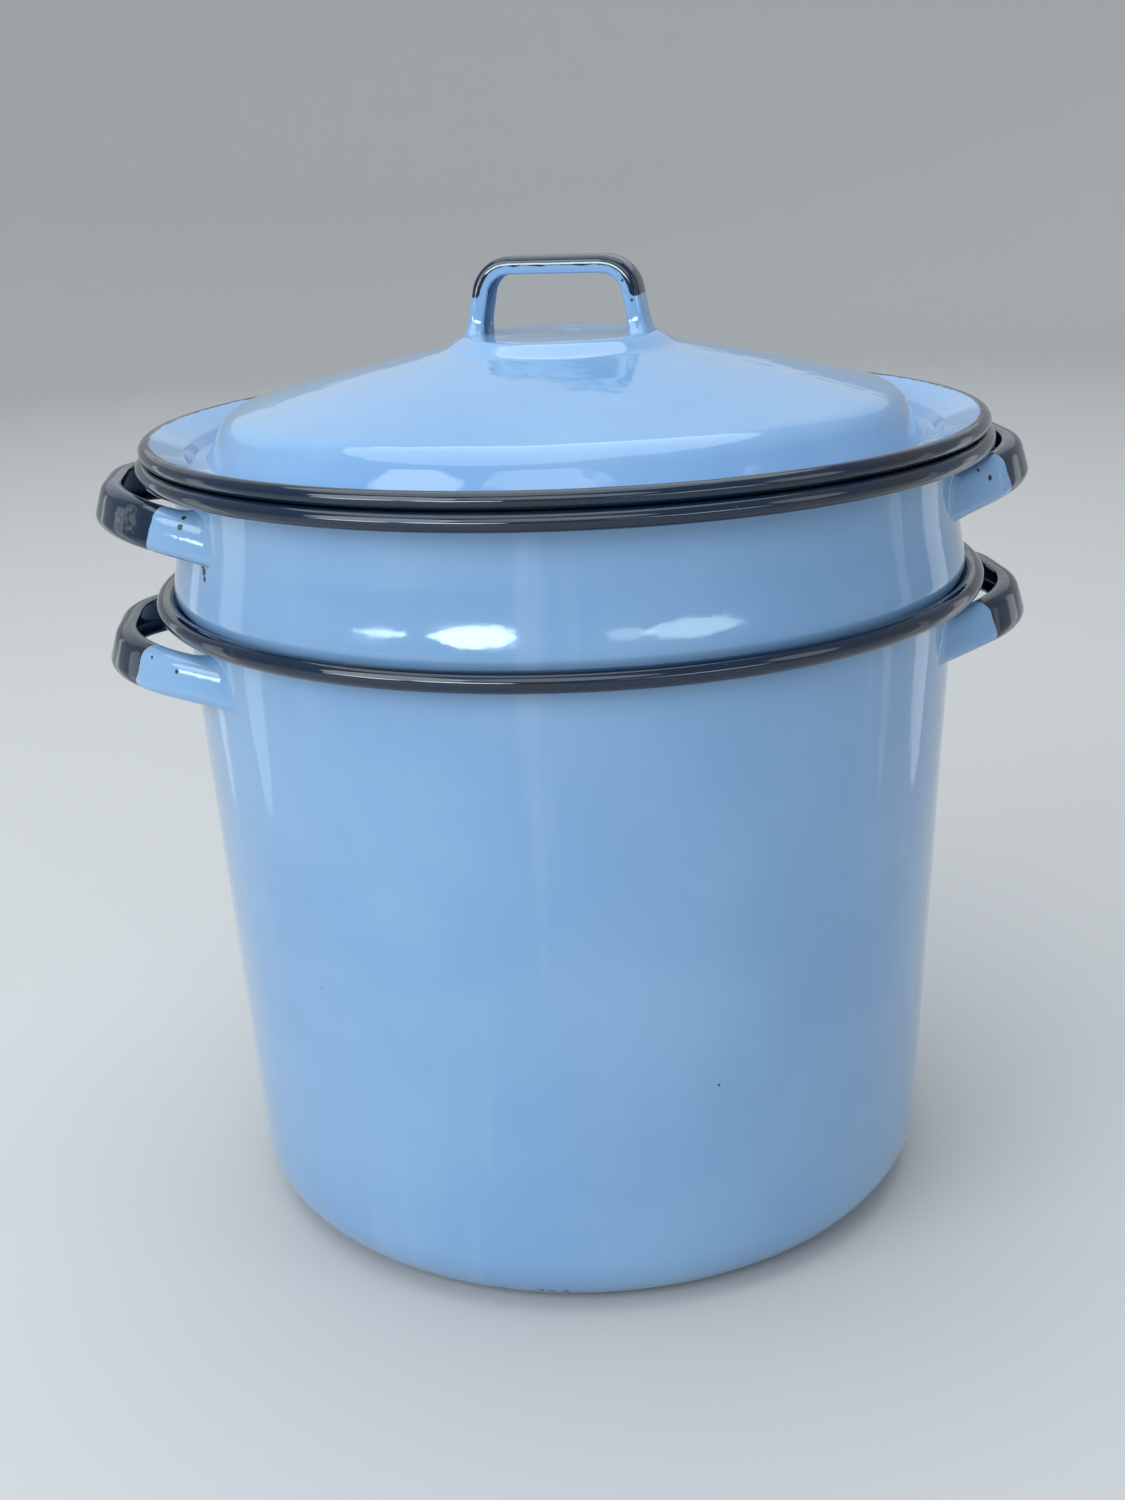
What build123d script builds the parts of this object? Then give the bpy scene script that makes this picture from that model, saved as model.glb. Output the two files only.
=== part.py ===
from build123d import *
import os
from math import atan2, cos, degrees, hypot, radians, sin, sqrt, tan

# Three-tier enamelled steel stock pot: a tapered pot, a perforated insert that
# hangs in its mouth, and a domed lid that sits on the insert.
# Millimetres.  Origin on the table under the centre of the pot, +Z up.
# The side handles lie on the X axis.

# Driving dimensions, shared
CLEARANCE = 0.3          # gap between pieces that lift off each other
WIRE_PLAY = 0.05         # gap between a rim wire and the sheet rolled round it
CURL_TURN = 292.0        # how far the sheet is rolled round its rim wire, degrees

# Pot
POT_SHEET = 1.2
POT_TOP_RADIUS = 139.2           # middle of the sheet, where the wall starts to flare
POT_BOTTOM_RADIUS = 127.7        # middle of the sheet, wall line carried down to the base
POT_CORNER_RADIUS = 22.0
POT_FLARE_HEIGHT = 228.4
POT_FLARE_RADIUS = 5.0
POT_BEAD = (146.3, 233.0)        # centre of the rolled rim: radius, height
POT_BEAD_RADIUS = 3.6

# Insert
INSERT_SHEET = 1.1
INSERT_BEAD = (149.3, 281.8)
INSERT_BEAD_RADIUS = 3.1
INSERT_NECK_RADIUS = 139.6       # upright wall, from the waist to the rim
INSERT_WAIST_HEIGHT = 256.0
INSERT_WAIST_RADIUS = 30.0
INSERT_FLARE_HEIGHT = 278.7
INSERT_FLARE_RADIUS = 6.0
INSERT_BELLY_CORNER = (144.15, 232.8)     # meeting of the wall and the shoulder, before rounding
INSERT_BELLY_RADIUS = 9.45
BASKET_SHOULDER_HEIGHT = 227.1
BASKET_SHOULDER_RADIUS = 3.5
BASKET_RADIUS = 128.0
BASKET_BOTTOM_RADIUS = 123.0
BASKET_FLOOR = 166.0
BASKET_CORNER_RADIUS = 10.0
HOLE_DIAMETER = 6.0
HOLE_RING_PITCH = 17.0
HOLE_RINGS = 5

# Lid
LID_SHEET = 1.0
LID_BEAD_RADIUS = 2.9
LID_BEAD_CENTRE_RADIUS = 147.9
LID_STEP_RADIUS = 135.5          # step that drops inside the insert's mouth
LID_STEP_HEIGHT = 285.4
LID_STEP_RUN = 3.0               # how far the step slopes outward as it rises
LID_TROUGH_HEIGHT = 281.6
LID_DOME_RADIUS = 127.5
LID_SHOULDER = (120.0, 296.8)
LID_MID_DOME = (80.0, 306.8)
LID_BOSS_FOOT = (41.5, 314.9)
LID_BOSS_RADIUS = 35.0
LID_BOSS_HEIGHT = 319.3
LID_BOSS_EDGE_BEND = 6.0
LID_BOSS_FOOT_BEND = 12.0
LID_CROWN_BEND = 700.0           # the dome itself, between the boss and the shoulder
LID_SHOULDER_BEND = 12.0
LID_TROUGH_BEND = 2.5
LID_STEP_FOOT_BEND = 1.5
LID_STEP_TOP_BEND = 2.0

# Strap handles
STRAP_SHEET = 1.5
SIDE_STRAP_HEIGHT = 15.4
SIDE_STRAP_FLANGE = 6.5
SIDE_STRAP_EDGE_RADIUS = 4.0
SIDE_GRIP_RADIUS = 169.2         # outside of the grip's lower edge, from the pot's axis
SIDE_GRIP_HALF_WIDTH = 38.0      # grip and leg lines meet here, before rounding
SIDE_LEG_RADIUS = 125.0          # a second point on the leg lines, just inside the wall
SIDE_LEG_HALF_WIDTH = 67.0
SIDE_LEG_RUN_IN = 0.5            # share of the leg that is carried on past it before cutting
SIDE_BEND_RADIUS = 55.0
SIDE_STRAP_LEAN = 18.0           # top edge of the strap towards the wall, degrees
POT_HANDLE_HEIGHT = 207.0        # lower edge of the strap at the start of the leg lines
POT_HANDLE_RISE = 7.0            # rise of the loop away from the wall, degrees
INSERT_HANDLE_HEIGHT = 256.0
INSERT_HANDLE_RISE = 11.0
LID_STRAP_WIDTH = 13.0
LID_STRAP_FLANGE = 6.0
LID_STRAP_EDGE_RADIUS = 2.2
LID_HANDLE_TOP = 346.5
LID_HANDLE_FOOT_HALF_WIDTH = 33.3
LID_HANDLE_TOP_HALF_WIDTH = 28.0
LID_HANDLE_BEND_RADIUS = 14.0
LID_HANDLE_SINK = 6.0            # how far the feet are carried below the boss before cutting
LID_HANDLE_TURN = -21.0          # lid handle about the vertical, from the side handles


def lid_bead_centre():
    """Centre of the lid's rim, resting on the insert's rim with the stated clearance."""
    reach = INSERT_BEAD_RADIUS + LID_BEAD_RADIUS + CLEARANCE
    offset = INSERT_BEAD[0] - LID_BEAD_CENTRE_RADIUS
    return (LID_BEAD_CENTRE_RADIUS, INSERT_BEAD[1] + sqrt(reach**2 - offset**2))


def curl_start(bead, curl_radius, corner):
    """Point where a straight flare from corner runs tangent into the top of the curl."""
    dx = bead[0] - corner[0]
    dz = bead[1] - corner[1]
    slope = atan2(dz, dx) + atan2(curl_radius, sqrt(hypot(dx, dz) ** 2 - curl_radius**2))
    point = (bead[0] - curl_radius * sin(slope), bead[1] + curl_radius * cos(slope))
    return point, degrees(slope)


def rolled_shell(points, radii, bead, bead_radius, sheet):
    """Revolved sheet through points, rounded by radii, with its edge rolled into a bead."""
    curl_radius = bead_radius - sheet / 2
    start, slope = curl_start(bead, curl_radius, points[-1])
    wall = FilletPolyline(*points, start, radius=radii)
    heading = (cos(radians(slope)), sin(radians(slope)))
    curl = JernArc(start=start, tangent=heading, radius=curl_radius, arc_size=-CURL_TURN)
    middle = Wire([*wall.edges(), *curl.edges()])
    left, right = (middle.offset_2d(sheet / 2, side=side, closed=False) for side in (Side.LEFT, Side.RIGHT))
    caps = [Line(left @ 0, right @ 1).edge(), Line(left @ 1, right @ 0).edge()]
    section = make_face(Wire([*left.edges(), *right.edges(), *caps]))
    return revolve(Plane.XZ * section, Axis.Z)


def core(points, radii, sheet, side, level):
    """Solid between one surface of a shell and a level, to cut handle feet with."""
    wall = FilletPolyline(*points, radius=radii)
    surface = Wire(wall.edges()).offset_2d(sheet / 2, side=side, closed=False)
    centre, edge = sorted((surface @ 0, surface @ 1), key=lambda point: point.X)
    close = Polyline(edge, (edge.X, level), (0, level), centre)
    return revolve(Plane.XZ * make_face(Wire([*surface.edges(), *close.edges()])), Axis.Z)


def rim_wire(bead, bead_radius, sheet):
    """Steel wire that stiffens a rolled rim."""
    return Pos(0, 0, bead[1]) * Torus(bead[0], bead_radius - sheet - WIRE_PLAY)


def rounded_slab(face, direction, edge_radius):
    """A face extruded along a direction, with the edges of both ends rounded."""
    slab = extrude(face, direction.length, dir=direction.normalized())
    ends = slab.faces().sort_by(Axis.Z)
    return fillet([*ends[0].edges(), *ends[-1].edges()], edge_radius)


def strap(corners, bend_radius, width, flange, edge_radius, lean=0.0):
    """Channel-section strap bent round the corners of an open outline, flanges inward.

    The strap's faces lean from the normal of its loop, towards -X.
    """
    outline = FilletPolyline(*corners, radius=bend_radius)
    outer = make_face(Wire([*outline.edges(), Line(outline @ 1, outline @ 0).edge()]))
    upward = Vector(-tan(radians(lean)), 0, 1)
    block = rounded_slab(outer, upward * width, edge_radius)
    inside = rounded_slab(
        offset(outer, -STRAP_SHEET), upward * (width - 2 * STRAP_SHEET), edge_radius - STRAP_SHEET
    )
    opening = extrude(offset(outer, -flange), (upward * width).length, dir=upward.normalized())
    return block - Pos(upward * STRAP_SHEET) * inside - opening


def side_handle(height, rise, body, turn):
    """Side handle: a wide loop that rises away from the wall, its legs cut to the wall."""
    leg = (SIDE_GRIP_RADIUS - SIDE_LEG_RADIUS, SIDE_LEG_HALF_WIDTH - SIDE_GRIP_HALF_WIDTH)
    foot = (-leg[0] * SIDE_LEG_RUN_IN, SIDE_LEG_HALF_WIDTH + leg[1] * SIDE_LEG_RUN_IN)
    corners = [
        (foot[0], -foot[1]),
        (leg[0], -SIDE_GRIP_HALF_WIDTH),
        (leg[0], SIDE_GRIP_HALF_WIDTH),
        foot,
    ]
    loop = strap(
        corners,
        SIDE_BEND_RADIUS,
        SIDE_STRAP_HEIGHT,
        SIDE_STRAP_FLANGE,
        SIDE_STRAP_EDGE_RADIUS,
        SIDE_STRAP_LEAN - rise,
    )
    placed = Pos(SIDE_LEG_RADIUS, 0, height) * Rot(0, -rise, 0) * loop
    return Rot(0, 0, turn) * (placed - body)


def lid_handle(body):
    """Lid handle: an upright loop over the boss, its feet cut to the lid."""
    base = LID_BOSS_HEIGHT - LID_HANDLE_SINK
    splay = (LID_HANDLE_FOOT_HALF_WIDTH - LID_HANDLE_TOP_HALF_WIDTH) / (LID_HANDLE_TOP - LID_BOSS_HEIGHT)
    foot = LID_HANDLE_FOOT_HALF_WIDTH + LID_HANDLE_SINK * splay
    corners = [
        (foot, base),
        (LID_HANDLE_TOP_HALF_WIDTH, LID_HANDLE_TOP),
        (-LID_HANDLE_TOP_HALF_WIDTH, LID_HANDLE_TOP),
        (-foot, base),
    ]
    loop = strap(
        corners, LID_HANDLE_BEND_RADIUS, LID_STRAP_WIDTH, LID_STRAP_FLANGE, LID_STRAP_EDGE_RADIUS
    )
    upright = Pos(0, LID_STRAP_WIDTH / 2, 0) * Rot(90, 0, 0) * loop
    return Rot(0, 0, LID_HANDLE_TURN) * (upright - body)


POT_OUTLINE = [
    (0, POT_SHEET / 2),
    (POT_BOTTOM_RADIUS, POT_SHEET / 2),
    (POT_TOP_RADIUS, POT_FLARE_HEIGHT),
]
POT_BENDS = [POT_CORNER_RADIUS, POT_FLARE_RADIUS]

INSERT_OUTLINE = [
    (0, BASKET_FLOOR),
    (BASKET_BOTTOM_RADIUS, BASKET_FLOOR),
    (BASKET_RADIUS, BASKET_SHOULDER_HEIGHT),
    INSERT_BELLY_CORNER,
    (INSERT_NECK_RADIUS, INSERT_WAIST_HEIGHT),
    (INSERT_NECK_RADIUS, INSERT_FLARE_HEIGHT),
]
INSERT_BENDS = [
    BASKET_CORNER_RADIUS,
    BASKET_SHOULDER_RADIUS,
    INSERT_BELLY_RADIUS,
    INSERT_WAIST_RADIUS,
    INSERT_FLARE_RADIUS,
]

LID_OUTLINE = [
    (0, LID_BOSS_HEIGHT),
    (LID_BOSS_RADIUS, LID_BOSS_HEIGHT),
    LID_BOSS_FOOT,
    LID_MID_DOME,
    LID_SHOULDER,
    (LID_DOME_RADIUS, LID_TROUGH_HEIGHT),
    (LID_STEP_RADIUS - LID_STEP_RUN, LID_TROUGH_HEIGHT),
    (LID_STEP_RADIUS, LID_STEP_HEIGHT),
]
LID_BENDS = [
    LID_BOSS_EDGE_BEND,
    LID_BOSS_FOOT_BEND,
    LID_CROWN_BEND,
    LID_SHOULDER_BEND,
    LID_TROUGH_BEND,
    LID_STEP_FOOT_BEND,
    LID_STEP_TOP_BEND,
]


def holes():
    """Drain holes of the insert's floor, in rings, six more in each ring."""
    drill = Cylinder(HOLE_DIAMETER / 2, 4 * INSERT_SHEET)
    places = [Pos(0, 0, BASKET_FLOOR)]
    for ring in range(1, HOLE_RINGS + 1):
        places += [
            Rot(0, 0, 60 * step / ring) * Pos(ring * HOLE_RING_PITCH, 0, BASKET_FLOOR)
            for step in range(6 * ring)
        ]
    return [place * drill for place in places]


def main():
    """Build every piece and write one STEP file for each."""
    lid_bead = lid_bead_centre()
    pot_core = core(POT_OUTLINE, POT_BENDS[:-1], POT_SHEET, Side.RIGHT, POT_BEAD[1])
    insert_core = core(INSERT_OUTLINE, INSERT_BENDS[:-1], INSERT_SHEET, Side.RIGHT, INSERT_BEAD[1])
    lid_core = core(LID_OUTLINE, LID_BENDS[:-1], LID_SHEET, Side.LEFT, LID_TROUGH_HEIGHT - LID_SHEET)

    insert = rolled_shell(INSERT_OUTLINE, INSERT_BENDS, INSERT_BEAD, INSERT_BEAD_RADIUS, INSERT_SHEET)
    pieces = {
        "pot_body": rolled_shell(POT_OUTLINE, POT_BENDS, POT_BEAD, POT_BEAD_RADIUS, POT_SHEET),
        "pot_rim_wire": rim_wire(POT_BEAD, POT_BEAD_RADIUS, POT_SHEET),
        "pot_handle_right": side_handle(POT_HANDLE_HEIGHT, POT_HANDLE_RISE, pot_core, 0),
        "pot_handle_left": side_handle(POT_HANDLE_HEIGHT, POT_HANDLE_RISE, pot_core, 180),
        "insert_body": insert - holes(),
        "insert_rim_wire": rim_wire(INSERT_BEAD, INSERT_BEAD_RADIUS, INSERT_SHEET),
        "insert_handle_right": side_handle(INSERT_HANDLE_HEIGHT, INSERT_HANDLE_RISE, insert_core, 0),
        "insert_handle_left": side_handle(INSERT_HANDLE_HEIGHT, INSERT_HANDLE_RISE, insert_core, 180),
        "lid_shell": rolled_shell(LID_OUTLINE, LID_BENDS, lid_bead, LID_BEAD_RADIUS, LID_SHEET),
        "lid_rim_wire": rim_wire(lid_bead, LID_BEAD_RADIUS, LID_SHEET),
        "lid_handle": lid_handle(lid_core),
    }
    os.makedirs("parts", exist_ok=True)
    for name, piece in pieces.items():
        export_step(piece, f"parts/{name}.step")


main()
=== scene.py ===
from math import acos, atan2, ceil, cos, hypot, pi, radians, sin, sqrt, tan

import bmesh
import bpy
from mathutils import Matrix, Vector, noise
from mathutils.geometry import delaunay_2d_cdt


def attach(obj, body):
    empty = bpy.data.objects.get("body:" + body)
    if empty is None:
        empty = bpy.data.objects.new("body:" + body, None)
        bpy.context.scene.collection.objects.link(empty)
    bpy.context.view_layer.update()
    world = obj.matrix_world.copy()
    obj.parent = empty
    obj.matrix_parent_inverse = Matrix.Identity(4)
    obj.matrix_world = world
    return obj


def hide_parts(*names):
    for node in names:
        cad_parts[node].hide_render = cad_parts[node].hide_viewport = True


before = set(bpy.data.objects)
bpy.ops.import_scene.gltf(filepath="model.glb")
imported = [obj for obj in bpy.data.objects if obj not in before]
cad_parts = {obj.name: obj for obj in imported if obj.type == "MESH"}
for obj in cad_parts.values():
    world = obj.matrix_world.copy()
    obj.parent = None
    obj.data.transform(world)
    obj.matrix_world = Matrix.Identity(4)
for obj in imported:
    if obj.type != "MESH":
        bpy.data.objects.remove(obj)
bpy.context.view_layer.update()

# ---------------------------------------------------------------- sizes
# Outlines, bends and beads are in millimetres, and the rest is in metres.  An outline is the
# middle of the sheet, as (radius, height), and a bead is the middle of a rolled rim.

MM = 0.001

POT_SHEET = 1.2 * MM
POT_OUTLINE = [(0, 0.6), (127.7, 0.6), (139.2, 228.4)]
POT_BENDS = [22.0, 5.0]
POT_BEAD = (146.3, 233.0)
POT_BEAD_RADIUS = 3.6

INSERT_SHEET = 1.1 * MM
INSERT_OUTLINE = [
    (0, 166.0),
    (123.0, 166.0),
    (128.0, 227.1),
    (144.15, 232.8),
    (139.6, 256.0),
    (139.6, 278.7),
]
INSERT_BENDS = [10.0, 3.5, 9.45, 110.0, 6.0]      # the waist eased, so that it shows no crease
INSERT_BEAD = (149.3, 281.8)
INSERT_BEAD_RADIUS = 3.1
HOLE_RADIUS = 3.0 * MM
HOLE_RING_PITCH = 17.0 * MM
HOLE_RINGS = 5
HOLED_DISC_RADIUS = 100.0 * MM
FLAT_RADIUS = 101.0 * MM         # floors and the lid's middle are true inside this

LID_SHEET = 1.0 * MM
LID_OUTLINE = [
    (0, 319.3),
    (35.0, 319.3),
    (41.5, 314.9),
    (80.0, 306.8),
    (120.0, 296.8),
    (127.5, 281.6),
    (132.5, 281.6),
    (135.5, 285.4),
]
LID_BENDS = [6.0, 12.0, 700.0, 12.0, 2.5, 1.5, 2.0]
LID_BEAD = (147.9, 287.936)
LID_BEAD_RADIUS = 2.9
LID_CROWN_HEIGHT = 290.0 * MM    # the raised middle is above this

CURL_TURN = 292                  # degrees that a rim's sheet turns round its wire
CURL_STEP = 11                   # degrees

DENT_DEPTH = 0.16 * MM
DENT_FADE = 25 * MM              # they fade to nothing over this distance below a rim
DENTS_PER_METRE = 22

STRAP_SHEET = 1.5 * MM
WELD_LENGTH = 7 * MM             # how far up a foot the weld's flare reaches
SIDE_WELD_FLARE = 1.4 * MM
LID_WELD_FLARE = 1.2 * MM
SIDE_STRAP_HEIGHT = 15.4 * MM
SIDE_STRAP_FLANGE = 6.5 * MM
SIDE_STRAP_EDGE = 4.0 * MM
SIDE_GRIP_RADIUS = 168.9 * MM
SIDE_GRIP_HALF_WIDTH = 38.0 * MM
SIDE_LEG_RADIUS = 125.0 * MM
SIDE_LEG_HALF_WIDTH = 67.0 * MM
SIDE_BEND_RADIUS = 55.0 * MM
SIDE_STRAP_LEAN = radians(18.0)
POT_HANDLE_HEIGHT = 207.0 * MM
POT_HANDLE_RISE = radians(7.0)
INSERT_HANDLE_HEIGHT = 256.0 * MM
INSERT_HANDLE_RISE = radians(11.0)
GRIP_LENGTHS = {                 # how much of each strap the black covers
    "pot_grip_left": 92 * MM,
    "pot_grip_right": 118 * MM,
    "insert_grip_left": 118 * MM,
    "insert_grip_right": 104 * MM,
}

LID_STRAP_WIDTH = 13.0 * MM
LID_STRAP_FLANGE = 6.0 * MM
LID_STRAP_EDGE = 2.2 * MM
LID_HANDLE_TOP = 346.5 * MM
LID_HANDLE_TOP_HALF_WIDTH = 28.0 * MM
LID_HANDLE_FOOT_HALF_WIDTH = 33.3 * MM
LID_HANDLE_BEND_RADIUS = 14.0 * MM
LID_HANDLE_TURN = radians(-21.0)
LID_HANDLE_SINK = 6.0 * MM       # how far its outline starts below the boss
LID_GRIP_LENGTH = 76.0 * MM
LID_GRIP_BLACK_AND_SHADE_DEPTH = 3.2 * MM        # how far in from its outer face the black reaches: the real black enamel over the rounded corner, and a little further onto the flange as painted shade

TURN_STEPS = 256                 # facets round a shell
HOLE_STEPS = 24                  # facets round a drain hole
STRAP_RINGS = 120                # rings of points along a strap
ARC_STEP = radians(9)
LONGEST_RUN = 9 * MM
STRAP_STEP = 1.0 * MM
HALVINGS = 24                    # steps in the search for where a strap meets a wall
SHARP_ANGLE = radians(50)

# ---------------------------------------------------------------- outlines


def rounded(points, radii, step=ARC_STEP):
    """Dense points along a polyline whose inner corners are rounded by radii."""
    path = [Vector(points[0])]
    for before, corner, after, radius in zip(points, points[1:], points[2:], radii):
        corner = Vector(corner)
        back = (Vector(before) - corner).normalized()
        on = (Vector(after) - corner).normalized()
        half = acos(max(-1.0, min(1.0, back.dot(on)))) / 2
        reach = radius / tan(half)
        centre = corner + (back + on).normalized() * radius / sin(half)
        first = corner + back * reach - centre
        sweep = pi - 2 * half
        side = 1 if back.cross(on) < 0 else -1
        count = max(3, ceil(sweep / step))
        for i in range(count + 1):
            turn = side * sweep * i / count
            path.append(centre + Matrix.Rotation(turn, 2) @ first)
    path.append(Vector(points[-1]))
    return path


def divided(path, longest):
    """The same path with its long runs cut into pieces no longer than longest."""
    result = [path[0]]
    for here, there in zip(path, path[1:]):
        count = max(1, ceil((there - here).length / longest))
        result += [here.lerp(there, i / count) for i in range(1, count + 1)]
    return result


def normals(path):
    """Unit normals on the left of an open path."""
    found = []
    for i in range(len(path)):
        along = path[min(i + 1, len(path) - 1)] - path[max(i - 1, 0)]
        found.append(Vector((-along.y, along.x)).normalized())
    return found


def lengths(path):
    """Distance along a path to each of its points."""
    found = [0.0]
    for here, there in zip(path, path[1:]):
        found.append(found[-1] + (there - here).length)
    return found


def curl_start(bead, curl_radius, corner):
    """Where a straight flare from corner runs tangent into the top of the curl."""
    dx = bead[0] - corner[0]
    dz = bead[1] - corner[1]
    slope = atan2(dz, dx) + atan2(curl_radius, sqrt(hypot(dx, dz) ** 2 - curl_radius**2))
    return Vector((bead[0] - curl_radius * sin(slope), bead[1] + curl_radius * cos(slope)))


def shell_path(outline, bends, bead, bead_radius, sheet):
    """Middle line of a shell as (radius, height) points, and the index where its curl starts."""
    corners = [Vector(point) * MM for point in outline]
    centre = Vector(bead) * MM
    curl_radius = bead_radius * MM - sheet / 2
    start = curl_start(centre, curl_radius, corners[-1])
    path = divided(rounded([*corners, start], [bend * MM for bend in bends]), LONGEST_RUN)
    spoke = start - centre
    count = ceil(CURL_TURN / CURL_STEP)
    turns = [radians(-CURL_TURN) * i / count for i in range(1, count + 1)]
    curl = [centre + Matrix.Rotation(turn, 2) @ spoke for turn in turns]
    return path + curl, len(path) - 1


# ---------------------------------------------------------------- meshes


def mesh_object(name, mesh, body, slot, *nodes):
    """A smooth-shaded piece that rides on a body and stands for CAD nodes."""
    mesh.validate()
    mesh.polygons.foreach_set("use_smooth", [True] * len(mesh.polygons))
    mesh.set_sharp_from_angle(angle=SHARP_ANGLE)
    mesh.update()
    piece = bpy.data.objects.new(name, mesh)
    bpy.context.collection.objects.link(piece)
    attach(piece, body)
    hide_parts(*nodes)
    return piece


def layered_mesh(name, vertices, faces, layer, values):
    """A mesh with one float value on each of its points."""
    mesh = bpy.data.meshes.new(name)
    mesh.from_pydata([tuple(vertex) for vertex in vertices], [], faces)
    mesh.attributes.new(layer, "FLOAT", "POINT").data.foreach_set("value", values)
    return mesh


def dents(point, away):
    """How far a wall stands out of true, fading to nothing towards its rim."""
    fade = min(1.0, max(0.0, -away / DENT_FADE))
    return DENT_DEPTH * fade * (noise.noise(point * DENTS_PER_METRE) - 1)


def spun_sheet(name, path, curl_index, sheet):
    """A sheet of revolution about Z.  Its trim layer is the distance past the rim's black edge."""
    side = normals(path)
    length = lengths(path)
    upper = [(p + n * sheet / 2, s) for p, n, s in zip(path, side, length)]
    lower = [(p - n * sheet / 2, s) for p, n, s in zip(path, side, length)]
    vertices, trim, rings = [], [], []
    for point, s in upper + lower[::-1]:
        past = s - length[curl_index]
        count = 1 if point.x < sheet / 100 else TURN_STEPS
        rings.append((len(vertices), count))
        for i in range(count):
            angle = 2 * pi * i / TURN_STEPS
            place = Vector((point.x * cos(angle), point.x * sin(angle), point.y))
            out = 0.0 if point.x < FLAT_RADIUS else dents(place, past) / point.x
            vertices.append((place.x * (1 + out), place.y * (1 + out), place.z))
            trim.append(past)
    faces = []
    for (a, a_count), (b, b_count) in zip(rings, rings[1:]):
        for i in range(TURN_STEPS):
            j = (i + 1) % TURN_STEPS
            if a_count == 1:
                faces.append((a, b + i, b + j))
            elif b_count == 1:
                faces.append((a + i, b, a + j))
            else:
                faces.append((a + i, b + i, b + j, a + j))
    return layered_mesh(name, vertices, faces, "trim", trim)


def circle(centre, radius, count):
    """Points of a circle, from the +X side of its centre."""
    angles = [2 * pi * i / count for i in range(count)]
    return [Vector((centre[0] + radius * cos(t), centre[1] + radius * sin(t))) for t in angles]


def drain_holes():
    """Centres of the holes in the insert's floor: one in the middle and rings of 6, 12, 18 and so on."""
    centres = [Vector((0, 0))]
    for ring in range(1, HOLE_RINGS + 1):
        centres += circle((0, 0), ring * HOLE_RING_PITCH, 6 * ring)
    return centres


def drilled_disc(radius, sheet, height):
    """Vertices and faces of the insert's flat floor, open at its outer edge."""
    loops = [circle((0, 0), radius, TURN_STEPS)]
    loops += [circle(centre, HOLE_RADIUS, HOLE_STEPS) for centre in drain_holes()]
    outlines, points = [], []
    for loop in loops:
        outlines.append(list(range(len(points), len(points) + len(loop))))
        points += loop
    fill_outlines = 1
    filled = delaunay_2d_cdt(points, [], outlines, fill_outlines, sheet / 1000)
    points, _, triangles, sources, _, within = filled
    triangles = [tuple(corners) for corners, inside in zip(triangles, within) if inside == [0]]
    place_of = {source: i for i, found in enumerate(sources) for source in found}
    below = len(points)
    vertices = [(p.x, p.y, height + sheet / 2) for p in points]
    vertices += [(p.x, p.y, height - sheet / 2) for p in points]
    faces = triangles + [tuple(below + corner for corner in corners[::-1]) for corners in triangles]
    for outline in outlines[1:]:
        hole = [place_of[source] for source in outline]
        faces += [(a, b, below + b, below + a) for a, b in zip(hole, hole[1:] + hole[:1])]
    return vertices, faces


def add_drilled_floor(shell, radius, sheet, height):
    """Closes a shell that starts at a radius with a drilled floor."""
    vertices, faces = drilled_disc(radius, sheet, height)
    disc = layered_mesh("drilled_disc", vertices, faces, "trim", [-1.0] * len(vertices))
    work = bmesh.new()
    work.from_mesh(disc)
    work.from_mesh(shell)
    bmesh.ops.remove_doubles(work, verts=work.verts, dist=sheet / 50)
    bmesh.ops.recalc_face_normals(work, faces=work.faces)
    work.to_mesh(shell)
    work.free()
    bpy.data.meshes.remove(disc)


# ---------------------------------------------------------------- straps


def strap_section(width, flange, edge):
    """Closed (inset, height) section of a channel strap, with rounded edges and lips."""
    bend = [radians(90) * i / 5 for i in range(6)]
    lip = [radians(180) * i / 4 for i in range(1, 4)]
    half = STRAP_SHEET / 2
    outer = [(edge - edge * sin(t), width - edge + edge * cos(t)) for t in bend]
    outer += [(edge - edge * cos(t), edge - edge * sin(t)) for t in bend]
    tip = flange - half
    outer.append((tip, 0.0))
    low_lip = [(tip + half * sin(t), half - half * cos(t)) for t in lip]
    inner_edge = edge - STRAP_SHEET
    inner = [(tip, STRAP_SHEET)]
    inner += [(edge - inner_edge * sin(t), edge - inner_edge * cos(t)) for t in bend]
    inner += [(edge - inner_edge * cos(t), width - edge + inner_edge * sin(t)) for t in bend]
    inner.append((tip, width - STRAP_SHEET))
    top_lip = [(tip + half * sin(t), width - half - half * cos(t)) for t in lip]
    return [Vector(p) for p in outer + low_lip + inner + top_lip + [(tip, width)]]


def outline_at(path, length, s):
    """Point at a distance along an outline, the run it is on, and its share of that run."""
    s = max(0.0, min(length[-1], s))
    i = 0
    while i < len(path) - 2 and length[i + 1] < s:
        i += 1
    share = (s - length[i]) / max(length[i + 1] - length[i], MM / 1000)
    return path[i].lerp(path[i + 1], share), i, share


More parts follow.
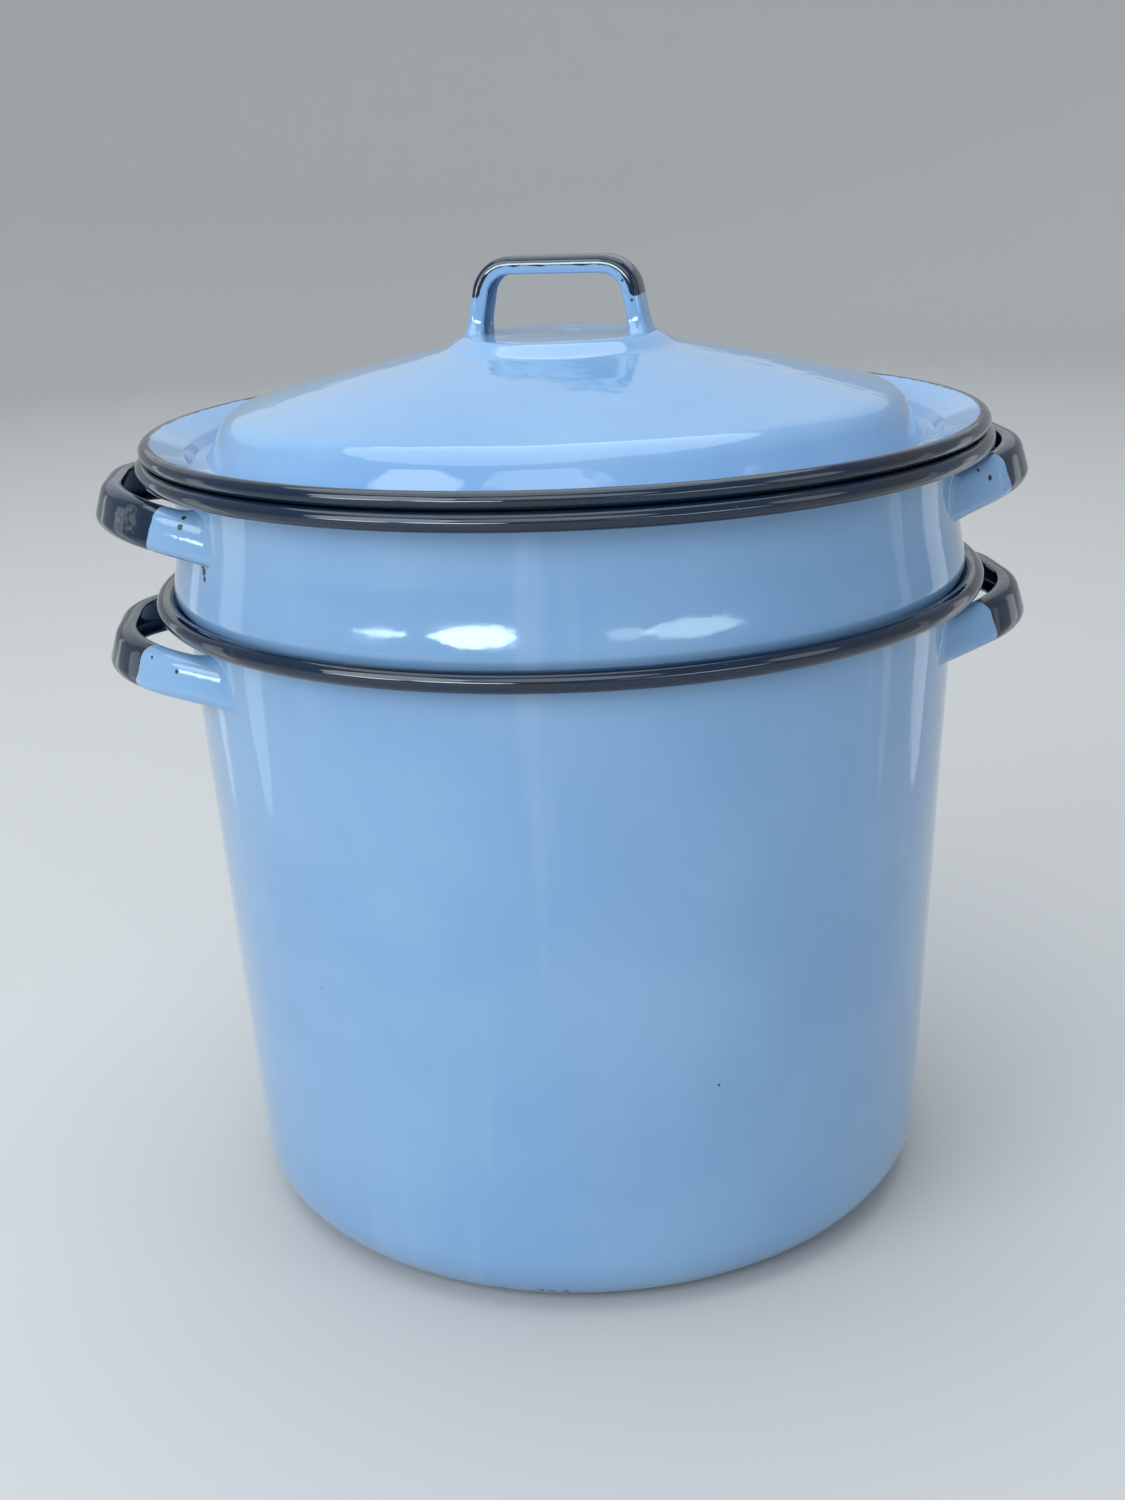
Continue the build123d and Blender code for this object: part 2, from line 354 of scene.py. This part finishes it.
def swept_strap(name, path, section, place, buried, grip, flare, depth=1.0):
    """A strap along an outline, its feet cut to the surface that buried() tells the inside of.

    place(u, v, h) puts outline coordinates in the frame.  grip is where the black part
    starts and ends along the outline, and depth is how far it reaches in from the outer face.
    """
    path = divided(path, STRAP_STEP)
    length = lengths(path)
    side = normals(path)
    rim = len(section)
    across = [(section[(k + 1) % rim] - section[k - 1]).normalized() for k in range(rim)]
    outward = [Vector((a.y, -a.x)) for a in across]

    def at(k, s, spread):
        """Surface point of section corner k at a distance along the outline."""
        point, i, share = outline_at(path, length, s)
        inward = side[i].lerp(side[i + 1], share).normalized()
        inset, height = section[k] + outward[k] * spread
        return place(*(point + inward * inset), height)

    def foot(k, outside, inside):
        """Distance along the outline at which corner k meets the surface."""
        for _ in range(HALVINGS):
            middle = (outside + inside) / 2
            if buried(at(k, middle, flare)):
                inside = middle
            else:
                outside = middle
        return inside

    middle = length[-1] / 2
    feet = [(foot(k, middle, 0.0), foot(k, middle, length[-1])) for k in range(rim)]
    vertices, layer = [], []
    for ring in range(STRAP_RINGS + 1):
        share = (1 - cos(pi * ring / STRAP_RINGS)) / 2
        for k, (first, last) in enumerate(feet):
            s = first + (last - first) * share
            near = min(s - first, last - s)
            spread = flare * max(0.0, 1 - near / WELD_LENGTH) ** 2
            vertices.append(at(k, s, spread))
            layer.append(min(s - grip[0], grip[1] - s, depth - section[k].x))
    faces = []
    for start in range(0, STRAP_RINGS * rim, rim):
        for k in range(rim):
            on = (k + 1) % rim
            faces.append((start + k, start + on, start + rim + on, start + rim + k))
    faces.append(tuple(range(rim))[::-1])
    faces.append(tuple(STRAP_RINGS * rim + k for k in range(rim)))
    mesh = layered_mesh(name, vertices, faces, "grip", layer)
    work = bmesh.new()
    work.from_mesh(mesh)
    bmesh.ops.recalc_face_normals(work, faces=work.faces)
    work.to_mesh(mesh)
    work.free()
    return mesh


def wall_radius(low, high, sheet, z):
    """Outside radius of a straight wall between two (radius, height) corners, at a height."""
    share = (z - low[1] * MM) / ((high[1] - low[1]) * MM)
    return (low[0] + (high[0] - low[0]) * share) * MM + sheet / 2


def side_handle(name, height, rise, wall, sheet, side, grip_length):
    """One of the wide side handles.  side is 1 for the right-hand one and -1 for the left."""
    reach = SIDE_GRIP_RADIUS - SIDE_LEG_RADIUS
    spread = SIDE_LEG_HALF_WIDTH - SIDE_GRIP_HALF_WIDTH
    foot = (-reach / 2, SIDE_LEG_HALF_WIDTH + spread / 2)       # half as far again, into the wall
    corners = [
        (foot[0], -foot[1]),
        (reach, -SIDE_GRIP_HALF_WIDTH),
        (reach, SIDE_GRIP_HALF_WIDTH),
        foot,
    ]
    path = rounded(corners, [SIDE_BEND_RADIUS] * 2, radians(2))
    total = lengths(path)[-1]
    lean = tan(SIDE_STRAP_LEAN - rise)
    turn = Matrix.Rotation(0 if side > 0 else pi, 3, "Z") @ Matrix.Rotation(-rise, 3, "Y")
    shift = Matrix.Rotation(0 if side > 0 else pi, 3, "Z") @ Vector((SIDE_LEG_RADIUS, 0, height))

    def place(u, v, h):
        return shift + turn @ Vector((u - lean * h, v, h))

    def buried(point):
        bite = sheet / 2
        return hypot(point.x, point.y) < wall_radius(*wall, sheet, point.z) - bite

    section = strap_section(SIDE_STRAP_HEIGHT, SIDE_STRAP_FLANGE, SIDE_STRAP_EDGE)
    grip = ((total - grip_length) / 2, (total + grip_length) / 2)
    return swept_strap(name, path, section, place, buried, grip, SIDE_WELD_FLARE)


def lid_handle(name, surface):
    """The upright handle on the lid's boss.  surface is the lid's outer (radius, height) line."""
    boss = LID_OUTLINE[0][1] * MM
    base = boss - LID_HANDLE_SINK
    splay = (LID_HANDLE_FOOT_HALF_WIDTH - LID_HANDLE_TOP_HALF_WIDTH) / (LID_HANDLE_TOP - boss)
    foot = LID_HANDLE_FOOT_HALF_WIDTH + LID_HANDLE_SINK * splay
    corners = [
        (foot, base),
        (LID_HANDLE_TOP_HALF_WIDTH, LID_HANDLE_TOP),
        (-LID_HANDLE_TOP_HALF_WIDTH, LID_HANDLE_TOP),
        (-foot, base),
    ]
    path = rounded(corners, [LID_HANDLE_BEND_RADIUS] * 2, radians(4))
    total = lengths(path)[-1]
    turn = Matrix.Rotation(LID_HANDLE_TURN, 3, "Z")

    def place(u, v, h):
        return turn @ Vector((u, h - LID_STRAP_WIDTH / 2, v))

    def buried(point):
        radius = hypot(point.x, point.y)
        for (r0, z0), (r1, z1) in zip(surface, surface[1:]):
            if r0 <= radius <= r1:
                share = (radius - r0) / (r1 - r0)
                return point.z < z0 + (z1 - z0) * share - LID_SHEET / 2
        return False

    section = strap_section(LID_STRAP_WIDTH, LID_STRAP_FLANGE, LID_STRAP_EDGE)
    grip = ((total - LID_GRIP_LENGTH) / 2, (total + LID_GRIP_LENGTH) / 2)
    # the black on this strap reaches past its corner onto the flange; that last part is painted shade
    return swept_strap(name, path, section, place, buried, grip, LID_WELD_FLARE, LID_GRIP_BLACK_AND_SHADE_DEPTH)


# ---------------------------------------------------------------- pieces

pot_path, pot_curl = shell_path(POT_OUTLINE, POT_BENDS, POT_BEAD, POT_BEAD_RADIUS, POT_SHEET)
pot_mesh = spun_sheet("pot_shell", pot_path, pot_curl, POT_SHEET)
pot_shell = mesh_object("pot_shell", pot_mesh, "pot", "blue_enamel", "pot_body")

insert_path, insert_curl = shell_path(
    INSERT_OUTLINE, INSERT_BENDS, INSERT_BEAD, INSERT_BEAD_RADIUS, INSERT_SHEET
)
disc_edge = Vector((HOLED_DISC_RADIUS, insert_path[0].y))
beyond = [point for point in insert_path if point.x > FLAT_RADIUS]
insert_curl -= len(insert_path) - len(beyond) - 1
insert_mesh = spun_sheet("insert_shell", [disc_edge, *beyond], insert_curl, INSERT_SHEET)
add_drilled_floor(insert_mesh, HOLED_DISC_RADIUS, INSERT_SHEET, insert_path[0].y)
insert_shell = mesh_object("insert_shell", insert_mesh, "insert", "blue_enamel", "insert_body")

lid_path, lid_curl = shell_path(LID_OUTLINE, LID_BENDS, LID_BEAD, LID_BEAD_RADIUS, LID_SHEET)
lid_mesh = spun_sheet("lid_cover", lid_path, lid_curl, LID_SHEET)
lid_cover = mesh_object("lid_cover", lid_mesh, "lid", "blue_enamel", "lid_shell")

side_handles = []
TIERS = {
    "pot": (POT_HANDLE_HEIGHT, POT_HANDLE_RISE, POT_OUTLINE[1:3], POT_SHEET),
    "insert": (INSERT_HANDLE_HEIGHT, INSERT_HANDLE_RISE, INSERT_OUTLINE[4:6], INSERT_SHEET),
}
for body, (height, rise, wall, sheet) in TIERS.items():
    for word, side in (("right", 1), ("left", -1)):
        name = f"{body}_grip_{word}"
        mesh = side_handle(name, height, rise, wall, sheet, side, GRIP_LENGTHS[name])
        side_handles.append(mesh_object(name, mesh, body, "black_enamel", f"{body}_handle_{word}"))

lid_top = [p + n * LID_SHEET / 2 for p, n in zip(lid_path, normals(lid_path))]
grip_mesh = lid_handle("lid_grip", [point for point in lid_top if point.y > LID_CROWN_HEIGHT])
lid_grip = mesh_object("lid_grip", grip_mesh, "lid", "black_enamel", "lid_handle")

# ---------------------------------------------------------------- camera

CAMERA_TURN = radians(-5.6)      # how far round it stands from square to the side handles
CAMERA_PLACE = Vector((0, -0.68903, 0.39032))
CAMERA_PITCH, CAMERA_YAW, CAMERA_ROLL = 0.31798, -0.00746, -0.04089      # radians
CAMERA_LENS = 45.69              # millimetres, for a 36 mm frame

spin = Matrix.Rotation(CAMERA_TURN, 3, "Z")
heading = Vector((sin(CAMERA_YAW), cos(CAMERA_YAW), 0))
ahead = heading * cos(CAMERA_PITCH) - Vector((0, 0, sin(CAMERA_PITCH)))
level = Vector((heading.y, -heading.x, 0))
upright = level.cross(ahead)
right = level * cos(CAMERA_ROLL) + upright * sin(CAMERA_ROLL)
above = upright * cos(CAMERA_ROLL) - level * sin(CAMERA_ROLL)
lens = bpy.data.cameras.new("camera")
lens.lens = CAMERA_LENS
lens.sensor_width = 36
camera = bpy.data.objects.new("camera", lens)
bpy.context.collection.objects.link(camera)
facing = spin @ Matrix((right, above, -ahead)).transposed()
camera.matrix_world = Matrix.Translation(spin @ CAMERA_PLACE) @ facing.to_4x4()
bpy.context.scene.camera = camera

# ---------------------------------------------------------------- shader nodes

WALL_RADIUS = 140 * MM           # about that of every wall


def node(tree, kind, inputs=None, **settings):
    """A shader node, its settings first and then its inputs, linked or set."""
    made = tree.nodes.new(kind)
    for key, value in settings.items():
        setattr(made, key, value)
    for key, value in (inputs or {}).items():
        if isinstance(value, bpy.types.NodeSocket):
            tree.links.new(value, made.inputs[key])
        else:
            made.inputs[key].default_value = value
    return made


def maths(tree, operation, *values):
    """The result of a Math node."""
    return node(tree, "ShaderNodeMath", dict(enumerate(values)), operation=operation).outputs[0]


def vector_maths(tree, operation, *values):
    """The vector result of a Vector Math node."""
    return node(tree, "ShaderNodeVectorMath", dict(enumerate(values)), operation=operation).outputs[0]


def scaled(tree, vector, scale):
    """A vector times a number."""
    inputs = {0: vector, "Scale": scale}
    return node(tree, "ShaderNodeVectorMath", inputs, operation="SCALE").outputs[0]


def ramp(tree, value, low, high):
    """0 below low, 1 above high, smooth between."""
    inputs = {"Value": value, "From Min": low, "From Max": high}
    return node(tree, "ShaderNodeMapRange", inputs, interpolation_type="SMOOTHSTEP").outputs[0]


def mixed(tree, factor, first, second):
    """A colour between two colours."""
    made = node(tree, "ShaderNodeMix", {0: factor, 6: first, 7: second}, data_type="RGBA")
    return made.outputs[2]


def blended(tree, factor, first, second):
    """A number between two numbers."""
    return node(tree, "ShaderNodeMix", {0: factor, 2: first, 3: second}, data_type="FLOAT").outputs[0]


def grain(tree, vector, scale, detail=2.0):
    """Noise from 0 to 1, around 0.5."""
    inputs = {"Vector": vector, "Scale": scale, "Detail": detail}
    return node(tree, "ShaderNodeTexNoise", inputs).outputs[0]


def upright_streaks(tree, place, across, along):
    """Coordinates for noise that runs up the walls: steps per metre across and along."""
    flat = vector_maths(tree, "MULTIPLY", place, (1, 1, 0))
    round_the_pot = scaled(tree, vector_maths(tree, "NORMALIZE", flat), WALL_RADIUS * across)
    rise = vector_maths(tree, "MULTIPLY", place, (0, 0, along))
    return vector_maths(tree, "ADD", round_the_pot, rise)


def ring_streaks(tree, place, across, along):
    """Coordinates for noise that runs round the axis: steps per metre out from it and round it."""
    flat = vector_maths(tree, "MULTIPLY", place, (1, 1, 0))
    radius = node(tree, "ShaderNodeVectorMath", {0: flat}, operation="LENGTH").outputs[1]
    out = node(tree, "ShaderNodeCombineXYZ", {2: maths(tree, "MULTIPLY", radius, across)}).outputs[0]
    return vector_maths(tree, "ADD", out, scaled(tree, flat, along))


def even_streaks(tree, place, across, along):
    """Coordinates for noise with no direction, at the finer of the two scales."""
    return scaled(tree, place, max(across, along))


def scattered(tree, place, scale, channel, radii, shares):
    """1 inside small round marks, in those cells whose random channel is above shares."""
    cells = node(tree, "ShaderNodeTexVoronoi", {"Vector": place, "Scale": scale})
    chosen = node(tree, "ShaderNodeSeparateColor", {0: cells.outputs["Color"]}).outputs[channel]
    inside = ramp(tree, cells.outputs["Distance"], *radii)
    return maths(tree, "MULTIPLY", inside, ramp(tree, chosen, *shares))


def spots(tree, place, points, ragged):
    """1 inside any of the (point, radius) spots, with a ragged edge."""
    found = None
    rough = maths(tree, "MULTIPLY", maths(tree, "SUBTRACT", grain(tree, place, 900), 0.5), ragged)
    for point, radius in points:
        inputs = {0: place, 1: point}
        away = node(tree, "ShaderNodeVectorMath", inputs, operation="DISTANCE").outputs[1]
        spot = ramp(tree, maths(tree, "ADD", away, rough), radius * 1.12, radius * 0.9)
        found = spot if found is None else maths(tree, "MAXIMUM", found, spot)
    return found


# ---------------------------------------------------------------- materials

BLUE = (0.225, 0.390, 0.605, 1)
DEEP_BLUE = (0.190, 0.350, 0.580, 1)
# painted reflection: the paler blue laid on the crests of the coat's waves
SHEEN_STREAK_BLUE = (0.265, 0.425, 0.635, 1)
BLACK = (0.003, 0.014, 0.036, 1)
BROWN_BLACK = (0.016, 0.018, 0.024, 1)
WORN = (0.130, 0.115, 0.105, 1)
SCUFFED = (0.085, 0.100, 0.100, 1)
NICKED = (0.330, 0.350, 0.370, 1)
BARE = (0.016, 0.013, 0.012, 1)
DARK_STEEL = (0.36, 0.36, 0.37, 1)
BRIGHT_STEEL = (0.52, 0.52, 0.53, 1)

CLEAN_ROUGHNESS = 0.035
SMEARED_ROUGHNESS = 0.11
RUBBED_ROUGHNESS = 0.42
BARE_ROUGHNESS = 0.6

EDGE_WANDER = 1.6 * MM           # between the black and the blue
EDGE_SOFTNESS = 0.12 * MM
WAVE_HEIGHT = 0.16 * MM
FINE_WAVE_HEIGHT = 0.018 * MM
PEEL_HEIGHT = 0.012 * MM
BLACK_COAT = 0.10 * MM
CHIP_DEPTH = 0.25 * MM


def enamel(name, layer, streaks, ripple, wear, chips, scuffs=()):
    """Two-colour gloss enamel, black where the layer is above zero, blue elsewhere.

    streaks gives the coordinates of the coat's waves, whose crests are also made a paler blue as painted
    reflection streaks, ripple is how high the sheet's own broad waves are, wear is how much of the black
    is rubbed, from 0 to 1, chips are (point, radius) where the coat has come away, and scuffs are where
    the black is greyed.
    """
    material = bpy.data.materials.new(name)
    material.use_nodes = True
    tree = material.node_tree
    shader = tree.nodes["Principled BSDF"]
    place = node(tree, "ShaderNodeTexCoord").outputs["Object"]
    edge = node(tree, "ShaderNodeAttribute", attribute_name=layer).outputs["Fac"]

    ragged = maths(tree, "SUBTRACT", grain(tree, place, 260, 3), 0.5)
    past = maths(tree, "ADD", edge, maths(tree, "MULTIPLY", ragged, EDGE_WANDER))
    black = ramp(tree, past, -EDGE_SOFTNESS, EDGE_SOFTNESS)

    waves = grain(tree, streaks(tree, place, 60, 6), 1, 3)
    fine_waves = grain(tree, streaks(tree, place, 260, 9), 1, 2)
    cloud = grain(tree, place, 14, 3)
    blue = mixed(tree, ramp(tree, cloud, 0.30, 0.72), DEEP_BLUE, BLUE)
    # painted reflection streaks: the crests of the waves are made paler, standing in for bands of light
    # in the gloss
    blue = mixed(tree, ramp(tree, waves, 0.58, 0.95), blue, SHEEN_STREAK_BLUE)
    dark = mixed(tree, ramp(tree, grain(tree, place, 30, 4), 0.48, 0.80), BLACK, BROWN_BLACK)
    rubbed = ramp(tree, grain(tree, place, 75, 6), 0.86 - 0.36 * wear, 0.98 - 0.30 * wear)
    dark = mixed(tree, maths(tree, "MULTIPLY", rubbed, 0.75), dark, WORN)
    if scuffs:
        mottle = ramp(tree, grain(tree, place, 420, 4), 0.3, 0.6)
        patch = maths(tree, "MULTIPLY", spots(tree, place, scuffs, 7 * MM), mottle)
        dark = mixed(tree, maths(tree, "MULTIPLY", patch, 0.7), dark, SCUFFED)
    colour = mixed(tree, black, blue, dark)

    specks = scattered(tree, place, 62, 0, (0.034, 0.020), (0.80, 0.83))
    bare = maths(tree, "MAXIMUM", specks, spots(tree, place, chips, 1.1 * MM))
    colour = mixed(tree, bare, colour, BARE)

    nicks = scattered(tree, place, 90, 1, (0.060, 0.035), (0.84, 0.86))
    colour = mixed(tree, maths(tree, "MULTIPLY", nicks, black), colour, NICKED)

    smear = ramp(tree, grain(tree, place, 48, 5), 0.35, 0.75)
    gloss = blended(tree, smear, CLEAN_ROUGHNESS, SMEARED_ROUGHNESS)
    gloss = blended(tree, maths(tree, "MULTIPLY", rubbed, black), gloss, RUBBED_ROUGHNESS)
    gloss = blended(tree, bare, gloss, BARE_ROUGHNESS)

    height = maths(tree, "MULTIPLY", waves, WAVE_HEIGHT)
    for part, size in (
        (grain(tree, place, 22, 3), ripple),
        (fine_waves, FINE_WAVE_HEIGHT),
        (grain(tree, place, 420, 2), PEEL_HEIGHT),
        (black, BLACK_COAT),
        (bare, -CHIP_DEPTH),
    ):
        height = maths(tree, "ADD", height, maths(tree, "MULTIPLY", part, size))
    bump = node(tree, "ShaderNodeBump", {"Height": height, "Distance": 1.0, "Strength": 1.0})

    tree.links.new(colour, shader.inputs["Base Color"])
    tree.links.new(gloss, shader.inputs["Roughness"])
    tree.links.new(bump.outputs[0], shader.inputs["Normal"])
    shader.inputs["IOR"].default_value = 1.46
    shader.inputs["Coat Weight"].default_value = 0.3
    shader.inputs["Coat Roughness"].default_value = 0.02
    return material


def drawn_wire():
    """Plain steel wire, with fine marks along it."""
    material = bpy.data.materials.new("drawn_wire")
    material.use_nodes = True
    tree = material.node_tree
    shader = tree.nodes["Principled BSDF"]
    place = node(tree, "ShaderNodeTexCoord").outputs["Object"]
    marks = grain(tree, place, 500, 3)
    tree.links.new(mixed(tree, marks, DARK_STEEL, BRIGHT_STEEL), shader.inputs["Base Color"])
    tree.links.new(blended(tree, marks, 0.28, 0.5), shader.inputs["Roughness"])
    shader.inputs["Metallic"].default_value = 1.0
    return material


def on_wall(radius, angle, height):
    """A point on a wall, by its angle from the front in degrees, left being negative."""
    turn = radians(angle - 90)
    return (radius * MM * cos(turn), radius * MM * sin(turn), height * MM)


CHIPS = {
    "pot": [
        (on_wall(123.4, -14.5, 7.4), 0.9 * MM),
        (on_wall(123.3, -12.8, 7.2), 0.7 * MM),
        (on_wall(123.0, -10.5, 7.0), 1.0 * MM),
        (on_wall(122.6, -21.0, 6.6), 0.6 * MM),
        (on_wall(148.9, 59.3, 235.5), 0.9 * MM),
    ],
    "insert": [
        (on_wall(140.4, -64.9, 256.6), 1.6 * MM),
        (on_wall(140.6, -64.5, 254.2), 1.4 * MM),
        (on_wall(141.1, -64.2, 251.8), 1.0 * MM),
        (on_wall(152.1, 13.2, 282.6), 0.6 * MM),
    ],
    "lid": [(on_wall(147.1, -77.8, 290.7), 0.6 * MM)],
    "straps": [
        (on_wall(144.1, -66.4, 271.9), 0.8 * MM),
        (on_wall(145.9, -66.2, 269.2), 0.9 * MM),
        (on_wall(150.3, -68.6, 219.1), 0.8 * MM),
        (on_wall(155.9, -72.5, 222.7), 0.6 * MM),
        (on_wall(151.0, 68.9, 269.0), 1.0 * MM),
        (on_wall(147.1, 67.8, 272.2), 0.6 * MM),
        (on_wall(25.6, 54.3, 337.9), 0.35 * MM),
        (on_wall(28.9, 56.0, 331.1), 0.45 * MM),
    ],
}
SCUFFS = [(on_wall(158.3, -73.5, 270.5), 4.5 * MM), (on_wall(158.9, -76.0, 269.0), 3.0 * MM)]
SHELL_COATS = (
    (pot_shell, "pot", upright_streaks, 0.3 * MM, 0.55),
    (insert_shell, "insert", upright_streaks, 0.3 * MM, 0.2),
    (lid_cover, "lid", ring_streaks, 1.5 * MM, 0.25),
)
for piece, body, streaks, ripple, wear in SHELL_COATS:
    coat = enamel(f"{body}_enamel", "trim", streaks, ripple, wear, CHIPS[body])
    piece.data.materials.append(coat)
strap_enamel = enamel("strap_enamel", "grip", even_streaks, 0.1 * MM, 0.5, CHIPS["straps"], SCUFFS)
for piece in (*side_handles, lid_grip):
    piece.data.materials.append(strap_enamel)
wire = drawn_wire()
for name in ("pot_rim_wire", "insert_rim_wire", "lid_rim_wire"):
    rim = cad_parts[name]
    rim.data.materials.clear()
    rim.data.materials.append(wire)

# ---------------------------------------------------------------- floor, light, world

MIDDLE = (0, 0, 0.2)
SKY = (0.88, 0.95, 1.0)
CLEAR_SKY = (0.76, 0.95, 1.0)
FLOOR_COLOUR = (0.56, 0.55, 0.535, 1)
WORLD_COLOUR = (0.80, 0.89, 1.0, 1)
WORLD_STRENGTH = 0.42


def studio_floor():
    """A round pale floor that turns up into a low wall all the way round."""
    reach, bend, rise, steps = 2.6, 0.9, 0.5, 96
    line = [(0.0, 0.0), (0.6, 0.0), (1.6, 0.0), (reach, 0.0)]
    turns = [pi / 2 * i / 12 for i in range(1, 13)]
    line += [(reach + bend * sin(t), bend - bend * cos(t)) for t in turns]
    line.append((reach + bend, bend + rise))
    vertices = [(0, 0, 0)]
    for radius, height in line[1:]:
        vertices += [(point.x, point.y, height) for point in circle((0, 0), radius, steps)]
    faces = [(0, 1 + i, 1 + (i + 1) % steps) for i in range(steps)]
    for ring in range(len(line) - 2):
        a, b = 1 + ring * steps, 1 + (ring + 1) * steps
        faces += [(a + i, b + i, b + (i + 1) % steps, a + (i + 1) % steps) for i in range(steps)]
    mesh = bpy.data.meshes.new("studio_floor")
    mesh.from_pydata(vertices, [], faces)
    mesh.polygons.foreach_set("use_smooth", [True] * len(mesh.polygons))
    floor = bpy.data.objects.new("studio_floor", mesh)
    bpy.context.collection.objects.link(floor)
    material = bpy.data.materials.new("studio_floor")
    material.use_nodes = True
    shader = material.node_tree.nodes["Principled BSDF"]
    shader.inputs["Base Color"].default_value = FLOOR_COLOUR
    shader.inputs["Roughness"].default_value = 0.75
    mesh.materials.append(material)


def softbox(name, place, aim, size, radiance, tint, diffuse=True):
    """An oval area light, placed and aimed in the camera's frame.

    With diffuse off it only shows in the gloss.
    """
    light = bpy.data.lights.new(name, "AREA")
    light.shape = "ELLIPSE"
    light.size, light.size_y = size
    area = size[0] * size[1] * pi / 4
    light.energy = radiance * pi * area
    light.color = tint
    lamp = bpy.data.objects.new(name, light)
    bpy.context.collection.objects.link(lamp)
    lamp.visible_camera = False
    lamp.visible_diffuse = diffuse
    here = spin @ Vector(place)
    away = here - spin @ Vector(aim)
    lamp.matrix_world = Matrix.Translation(here) @ away.to_track_quat("Z", "Y").to_matrix().to_4x4()


def low_card(name, angle, size, rise, radiance):
    """A strip of light near the horizon, at an angle from the front, that shows only in the gloss."""
    far, height = 1.5, 0.245
    turn = radians(angle)
    place = (far * sin(turn), -far * cos(turn), height + far * sin(radians(rise)))
    softbox(name, place, (0, 0, height), size, radiance, CLEAR_SKY, False)


def side_strip(name, angle, width, radiance):
    """An upright strip of light beside the pot that shows only in the gloss of its walls."""
    near, height = 0.5, 0.18
    turn = radians(angle)
    place = (near * sin(turn), -near * cos(turn), height)
    softbox(name, place, (0, 0, height), (width, 2 * height), radiance, SKY, False)


studio_floor()
softbox("overhead", (-0.2, 0.2, 2.2), MIDDLE, (3.2, 2.5), 1.95, SKY)
softbox("behind", (-0.3, 2.2, 1.7), MIDDLE, (4.6, 2.3), 0.33, SKY)
softbox("front_left", (-1.7, -1.5, 1.2), MIDDLE, (1.7, 1.7), 4.2, SKY)
softbox("front", (-0.2, -2.3, 1.7), MIDDLE, (2.5, 1.5), 2.4, SKY)
softbox("front_right", (1.9, -1.0, 1.0), MIDDLE, (0.8, 1.2), 1.5, SKY)
low_card("low_left", -53, (0.60, 0.13), 4.6, 13)
low_card("low_front_left", -27, (0.70, 0.16), 5.8, 19)
low_card("low_right", 34, (0.84, 0.15), 5.6, 6)
low_card("low_front_right", 15, (0.32, 0.08), 5.4, 3.5)
side_strip("strip_left", -95, 0.09, 0.75)
side_strip("strip_far_left", -118, 0.05, 0.6)
side_strip("strip_right", 112, 0.10, 0.6)
side_strip("strip_far_right", 92, 0.04, 0.4)
world = bpy.data.worlds.new("sky")
bpy.context.scene.world = world
world.use_nodes = True
background = world.node_tree.nodes["Background"]
background.inputs["Color"].default_value = WORLD_COLOUR
background.inputs["Strength"].default_value = WORLD_STRENGTH
bpy.context.scene.view_settings.view_transform = "Standard"
